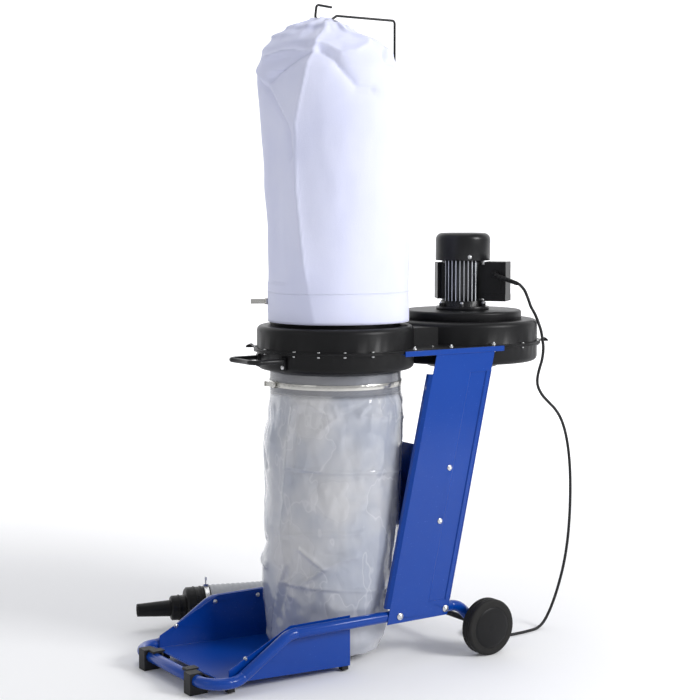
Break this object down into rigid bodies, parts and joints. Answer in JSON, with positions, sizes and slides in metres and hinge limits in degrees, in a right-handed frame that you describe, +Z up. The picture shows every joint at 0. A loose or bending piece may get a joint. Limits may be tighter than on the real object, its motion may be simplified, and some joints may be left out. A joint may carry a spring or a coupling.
{
  "type": "dust collector",
  "caption": "Single-bag dust collector: blue two-wheel trolley, black twin-drum housing, upright motor, white filter bag over a clear collection bag",
  "frame": {"origin": "On the floor under the middle of the machine's outline, cord and hose left out", "axes": "+X towards the wheels and the motor, +Y across, away from the switch side, +Z up"},
  "size_m": [1.0358, 0.66, 1.4833],
  "materials": {
    "blue_paint": "smooth gloss powder coat",
    "black_steel": "satin black paint",
    "black_plastic": "fine-grained satin moulding",
    "zinc_fittings": "bright zinc plate",
    "bare_steel": "rolled stainless strip",
    "cast_aluminium": "as-cast, fins wiped bright",
    "tyre_rubber": "semi-matt black",
    "soft_rubber": "matt black",
    "filter_cloth": "needled felt, off-white",
    "clear_film": "milky film, wrinkled",
    "grey_hose": "ribbed flexible hose",
    "green_plastic": "moulded",
    "red_plastic": "moulded"
  },
  "bodies": {
    "trolley": {"base_frame": "blue_paint", "axle": "black_steel", "wheel_clips": "zinc_fittings", "front_foot_left": "soft_rubber", "front_foot_right": "soft_rubber", "tray": "blue_paint", "tray_pads": "soft_rubber", "tray_bolts": "zinc_fittings", "column_left": "blue_paint", "column_right": "blue_paint", "column_bolts": "zinc_fittings", "brace_panel": "blue_paint", "top_rail_left": "blue_paint", "top_rail_right": "blue_paint", "rail_bolts": "zinc_fittings", "housing_lower": "black_plastic", "housing_upper": "black_plastic", "flange_gasket": "soft_rubber", "housing_screws": "zinc_fittings", "carry_handle": "black_steel", "handle_bolts": "zinc_fittings", "upper_collar": "black_steel", "lower_collar": "bare_steel", "inlet_port": "black_plastic", "inlet_guard": "zinc_fittings", "motor_plate": "black_plastic", "motor_base": "black_steel", "motor_body": "cast_aluminium", "stator_core": "bare_steel", "fan_cowl": "black_steel", "motor_screws": "zinc_fittings", "motor_bearings": "zinc_fittings", "capacitor_box": "black_plastic", "switch_box": "black_plastic", "strain_relief": "soft_rubber", "hanger_rod": "black_steel", "hanger_boss": "black_plastic", "filter_bag": "filter_cloth", "upper_band": "bare_steel", "collection_bag": "clear_film", "lower_band": "bare_steel", "suction_hose": "grey_hose", "hose_clamps": "zinc_fittings", "hose_adapter": "black_plastic", "mains_cord": "soft_rubber", "cord_coil": "soft_rubber", "plug": "soft_rubber"},
    "wheel_left": {"wheel_tyre_left": "tyre_rubber", "wheel_hub_left": "black_plastic"},
    "wheel_right": {"wheel_tyre_right": "tyre_rubber", "wheel_hub_right": "black_plastic"},
    "rotor": {"rotor_shaft": "zinc_fittings", "rotor_core": "bare_steel", "cooling_fan": "black_plastic", "impeller": "cast_aluminium", "impeller_bolt": "zinc_fittings"},
    "upper_latch_lever": {"upper_latch": "bare_steel"},
    "lower_latch_lever": {"lower_latch": "bare_steel"},
    "start": {"start_button": "green_plastic"},
    "stop": {"stop_button": "red_plastic"}
  },
  "joints": [
    {"name": "wheel_left_turn", "type": "hinge", "parent": "trolley", "child": "wheel_left", "pos_m": [0.21625, -0.229, 0.065], "axis": [0, 1, 0], "continuous": true},
    {"name": "wheel_right_turn", "type": "hinge", "parent": "trolley", "child": "wheel_right", "pos_m": [0.21625, 0.229, 0.065], "axis": [0, 1, 0], "continuous": true},
    {"name": "rotor_turn", "type": "hinge", "parent": "trolley", "child": "rotor", "pos_m": [0.31525, 0, 0.85], "axis": [0, 0, 1], "continuous": true},
    {"name": "upper_latch_swing", "type": "hinge", "parent": "trolley", "child": "upper_latch_lever", "pos_m": [-0.19523, 0.07469, 0.816], "axis": [0, 0, 1], "range_deg": [-82, 28]},
    {"name": "lower_latch_swing", "type": "hinge", "parent": "trolley", "child": "lower_latch_lever", "pos_m": [-0.21266, 0.01104, 0.631], "axis": [0, 0, 1], "range_deg": [0, 110]},
    {"name": "start_push", "type": "slide", "parent": "trolley", "child": "start", "axis": [-0.788, -0.6157, 0], "range_m": [0, 0.003], "stiffness_N_per_m": 150},
    {"name": "stop_push", "type": "slide", "parent": "trolley", "child": "stop", "axis": [-0.788, -0.6157, 0], "range_m": [0, 0.003], "stiffness_N_per_m": 150}
  ]
}
